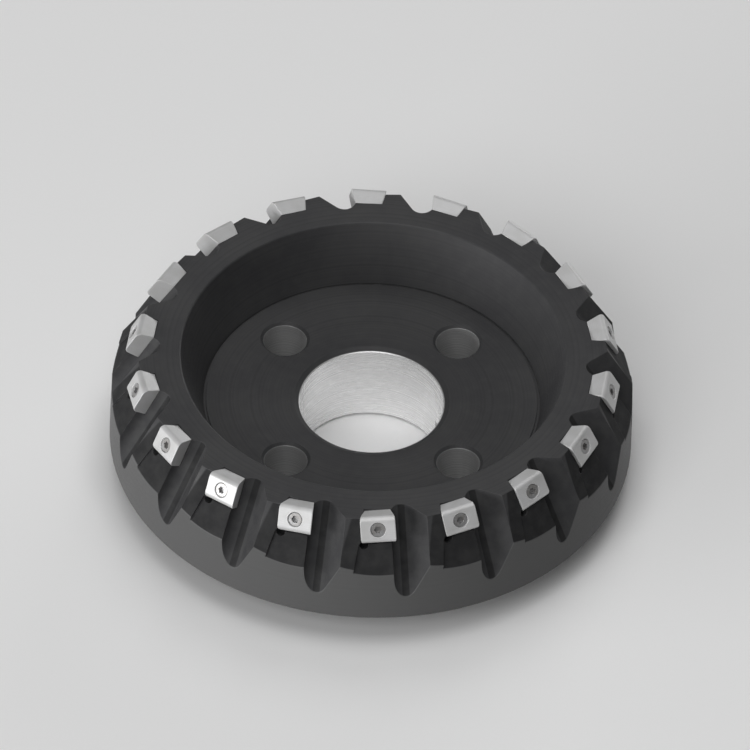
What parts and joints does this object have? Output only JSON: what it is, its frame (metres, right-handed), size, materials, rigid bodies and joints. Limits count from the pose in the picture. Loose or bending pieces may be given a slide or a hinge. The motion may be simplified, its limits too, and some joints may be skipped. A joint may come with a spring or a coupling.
{
  "type": "indexable face mill",
  "caption": "Face milling cutter: a black ring body with a central bore and bolt holes, and screw-clamped carbide inserts set on edge around its bevelled rim.",
  "frame": {"origin": "centre of the back mounting face, on the spindle axis", "axes": "+Z along the spindle axis towards the cutting face; the drive-key slots lie along X"},
  "size_m": [0.2172, 0.2172, 0.0651],
  "materials": {
    "black_oxide_steel": "satin black oxide over turned and milled steel",
    "coated_carbide": "bright ground cemented carbide",
    "screw_steel": "plain steel"
  },
  "bodies": {
    "cutter_body": {"cutter_body": "black_oxide_steel"},
    "insert_01": {"insert_01": "coated_carbide"},
    "insert_screw_01": {"insert_screw_01": "screw_steel"},
    "insert_02": {"insert_02": "coated_carbide"},
    "insert_screw_02": {"insert_screw_02": "screw_steel"},
    "insert_03": {"insert_03": "coated_carbide"},
    "insert_screw_03": {"insert_screw_03": "screw_steel"},
    "insert_04": {"insert_04": "coated_carbide"},
    "insert_screw_04": {"insert_screw_04": "screw_steel"},
    "insert_05": {"insert_05": "coated_carbide"},
    "insert_screw_05": {"insert_screw_05": "screw_steel"},
    "insert_06": {"insert_06": "coated_carbide"},
    "insert_screw_06": {"insert_screw_06": "screw_steel"},
    "insert_07": {"insert_07": "coated_carbide"},
    "insert_screw_07": {"insert_screw_07": "screw_steel"},
    "insert_08": {"insert_08": "coated_carbide"},
    "insert_screw_08": {"insert_screw_08": "screw_steel"},
    "insert_09": {"insert_09": "coated_carbide"},
    "insert_screw_09": {"insert_screw_09": "screw_steel"},
    "insert_10": {"insert_10": "coated_carbide"},
    "insert_screw_10": {"insert_screw_10": "screw_steel"},
    "insert_11": {"insert_11": "coated_carbide"},
    "insert_screw_11": {"insert_screw_11": "screw_steel"},
    "insert_12": {"insert_12": "coated_carbide"},
    "insert_screw_12": {"insert_screw_12": "screw_steel"},
    "insert_13": {"insert_13": "coated_carbide"},
    "insert_screw_13": {"insert_screw_13": "screw_steel"},
    "insert_14": {"insert_14": "coated_carbide"},
    "insert_screw_14": {"insert_screw_14": "screw_steel"},
    "insert_15": {"insert_15": "coated_carbide"},
    "insert_screw_15": {"insert_screw_15": "screw_steel"},
    "insert_16": {"insert_16": "coated_carbide"},
    "insert_screw_16": {"insert_screw_16": "screw_steel"},
    "insert_17": {"insert_17": "coated_carbide"},
    "insert_screw_17": {"insert_screw_17": "screw_steel"},
    "insert_18": {"insert_18": "coated_carbide"},
    "insert_screw_18": {"insert_screw_18": "screw_steel"}
  },
  "joints": [
    {"name": "insert_lift_01", "type": "slide", "parent": "cutter_body", "child": "insert_01", "axis": [-0.0228, -0.8882, 0.4588], "range_m": [0, 0.009]},
    {"name": "screw_draw_01", "type": "slide", "parent": "cutter_body", "child": "insert_screw_01", "axis": [-0.0228, -0.8882, 0.4588], "range_m": [0, 0.018]},
    {"name": "insert_lift_02", "type": "slide", "parent": "cutter_body", "child": "insert_02", "axis": [0.2824, -0.8425, 0.4588], "range_m": [0, 0.009]},
    {"name": "screw_draw_02", "type": "slide", "parent": "cutter_body", "child": "insert_screw_02", "axis": [0.2824, -0.8425, 0.4588], "range_m": [0, 0.018]},
    {"name": "insert_lift_03", "type": "slide", "parent": "cutter_body", "child": "insert_03", "axis": [0.5535, -0.6951, 0.4588], "range_m": [0, 0.009]},
    {"name": "screw_draw_03", "type": "slide", "parent": "cutter_body", "child": "insert_screw_03", "axis": [0.5535, -0.6951, 0.4588], "range_m": [0, 0.018]},
    {"name": "insert_lift_04", "type": "slide", "parent": "cutter_body", "child": "insert_04", "axis": [0.7579, -0.4638, 0.4588], "range_m": [0, 0.009]},
    {"name": "screw_draw_04", "type": "slide", "parent": "cutter_body", "child": "insert_screw_04", "axis": [0.7579, -0.4638, 0.4588], "range_m": [0, 0.018]},
    {"name": "insert_lift_05", "type": "slide", "parent": "cutter_body", "child": "insert_05", "axis": [0.8708, -0.1767, 0.4588], "range_m": [0, 0.009]},
    {"name": "screw_draw_05", "type": "slide", "parent": "cutter_body", "child": "insert_screw_05", "axis": [0.8708, -0.1767, 0.4588], "range_m": [0, 0.018]},
    {"name": "insert_lift_06", "type": "slide", "parent": "cutter_body", "child": "insert_06", "axis": [0.8787, 0.1318, 0.4588], "range_m": [0, 0.009]},
    {"name": "screw_draw_06", "type": "slide", "parent": "cutter_body", "child": "insert_screw_06", "axis": [0.8787, 0.1318, 0.4588], "range_m": [0, 0.018]},
    {"name": "insert_lift_07", "type": "slide", "parent": "cutter_body", "child": "insert_07", "axis": [0.7806, 0.4244, 0.4588], "range_m": [0, 0.009]},
    {"name": "screw_draw_07", "type": "slide", "parent": "cutter_body", "child": "insert_screw_07", "axis": [0.7806, 0.4244, 0.4588], "range_m": [0, 0.018]},
    {"name": "insert_lift_08", "type": "slide", "parent": "cutter_body", "child": "insert_08", "axis": [0.5884, 0.6658, 0.4588], "range_m": [0, 0.009]},
    {"name": "screw_draw_08", "type": "slide", "parent": "cutter_body", "child": "insert_screw_08", "axis": [0.5884, 0.6658, 0.4588], "range_m": [0, 0.018]},
    {"name": "insert_lift_09", "type": "slide", "parent": "cutter_body", "child": "insert_09", "axis": [0.3252, 0.8269, 0.4588], "range_m": [0, 0.009]},
    {"name": "screw_draw_09", "type": "slide", "parent": "cutter_body", "child": "insert_screw_09", "axis": [0.3252, 0.8269, 0.4588], "range_m": [0, 0.018]},
    {"name": "insert_lift_10", "type": "slide", "parent": "cutter_body", "child": "insert_10", "axis": [0.0228, 0.8882, 0.4588], "range_m": [0, 0.009]},
    {"name": "screw_draw_10", "type": "slide", "parent": "cutter_body", "child": "insert_screw_10", "axis": [0.0228, 0.8882, 0.4588], "range_m": [0, 0.018]},
    {"name": "insert_lift_11", "type": "slide", "parent": "cutter_body", "child": "insert_11", "axis": [-0.2824, 0.8425, 0.4588], "range_m": [0, 0.009]},
    {"name": "screw_draw_11", "type": "slide", "parent": "cutter_body", "child": "insert_screw_11", "axis": [-0.2824, 0.8425, 0.4588], "range_m": [0, 0.018]},
    {"name": "insert_lift_12", "type": "slide", "parent": "cutter_body", "child": "insert_12", "axis": [-0.5535, 0.6951, 0.4588], "range_m": [0, 0.009]},
    {"name": "screw_draw_12", "type": "slide", "parent": "cutter_body", "child": "insert_screw_12", "axis": [-0.5535, 0.6951, 0.4588], "range_m": [0, 0.018]},
    {"name": "insert_lift_13", "type": "slide", "parent": "cutter_body", "child": "insert_13", "axis": [-0.7579, 0.4638, 0.4588], "range_m": [0, 0.009]},
    {"name": "screw_draw_13", "type": "slide", "parent": "cutter_body", "child": "insert_screw_13", "axis": [-0.7579, 0.4638, 0.4588], "range_m": [0, 0.018]},
    {"name": "insert_lift_14", "type": "slide", "parent": "cutter_body", "child": "insert_14", "axis": [-0.8708, 0.1767, 0.4588], "range_m": [0, 0.009]},
    {"name": "screw_draw_14", "type": "slide", "parent": "cutter_body", "child": "insert_screw_14", "axis": [-0.8708, 0.1767, 0.4588], "range_m": [0, 0.018]},
    {"name": "insert_lift_15", "type": "slide", "parent": "cutter_body", "child": "insert_15", "axis": [-0.8787, -0.1318, 0.4588], "range_m": [0, 0.009]},
    {"name": "screw_draw_15", "type": "slide", "parent": "cutter_body", "child": "insert_screw_15", "axis": [-0.8787, -0.1318, 0.4588], "range_m": [0, 0.018]},
    {"name": "insert_lift_16", "type": "slide", "parent": "cutter_body", "child": "insert_16", "axis": [-0.7806, -0.4244, 0.4588], "range_m": [0, 0.009]},
    {"name": "screw_draw_16", "type": "slide", "parent": "cutter_body", "child": "insert_screw_16", "axis": [-0.7806, -0.4244, 0.4588], "range_m": [0, 0.018]},
    {"name": "insert_lift_17", "type": "slide", "parent": "cutter_body", "child": "insert_17", "axis": [-0.5884, -0.6658, 0.4588], "range_m": [0, 0.009]},
    {"name": "screw_draw_17", "type": "slide", "parent": "cutter_body", "child": "insert_screw_17", "axis": [-0.5884, -0.6658, 0.4588], "range_m": [0, 0.018]},
    {"name": "insert_lift_18", "type": "slide", "parent": "cutter_body", "child": "insert_18", "axis": [-0.3252, -0.8269, 0.4588], "range_m": [0, 0.009]},
    {"name": "screw_draw_18", "type": "slide", "parent": "cutter_body", "child": "insert_screw_18", "axis": [-0.3252, -0.8269, 0.4588], "range_m": [0, 0.018]}
  ],
  "couplings": [
    {"joint": "screw_draw_01", "follows": "insert_lift_01", "ratio": 2},
    {"joint": "screw_draw_02", "follows": "insert_lift_02", "ratio": 2},
    {"joint": "screw_draw_03", "follows": "insert_lift_03", "ratio": 2},
    {"joint": "screw_draw_04", "follows": "insert_lift_04", "ratio": 2},
    {"joint": "screw_draw_05", "follows": "insert_lift_05", "ratio": 2},
    {"joint": "screw_draw_06", "follows": "insert_lift_06", "ratio": 2},
    {"joint": "screw_draw_07", "follows": "insert_lift_07", "ratio": 2},
    {"joint": "screw_draw_08", "follows": "insert_lift_08", "ratio": 2},
    {"joint": "screw_draw_09", "follows": "insert_lift_09", "ratio": 2},
    {"joint": "screw_draw_10", "follows": "insert_lift_10", "ratio": 2},
    {"joint": "screw_draw_11", "follows": "insert_lift_11", "ratio": 2},
    {"joint": "screw_draw_12", "follows": "insert_lift_12", "ratio": 2},
    {"joint": "screw_draw_13", "follows": "insert_lift_13", "ratio": 2},
    {"joint": "screw_draw_14", "follows": "insert_lift_14", "ratio": 2},
    {"joint": "screw_draw_15", "follows": "insert_lift_15", "ratio": 2},
    {"joint": "screw_draw_16", "follows": "insert_lift_16", "ratio": 2},
    {"joint": "screw_draw_17", "follows": "insert_lift_17", "ratio": 2},
    {"joint": "screw_draw_18", "follows": "insert_lift_18", "ratio": 2}
  ]
}
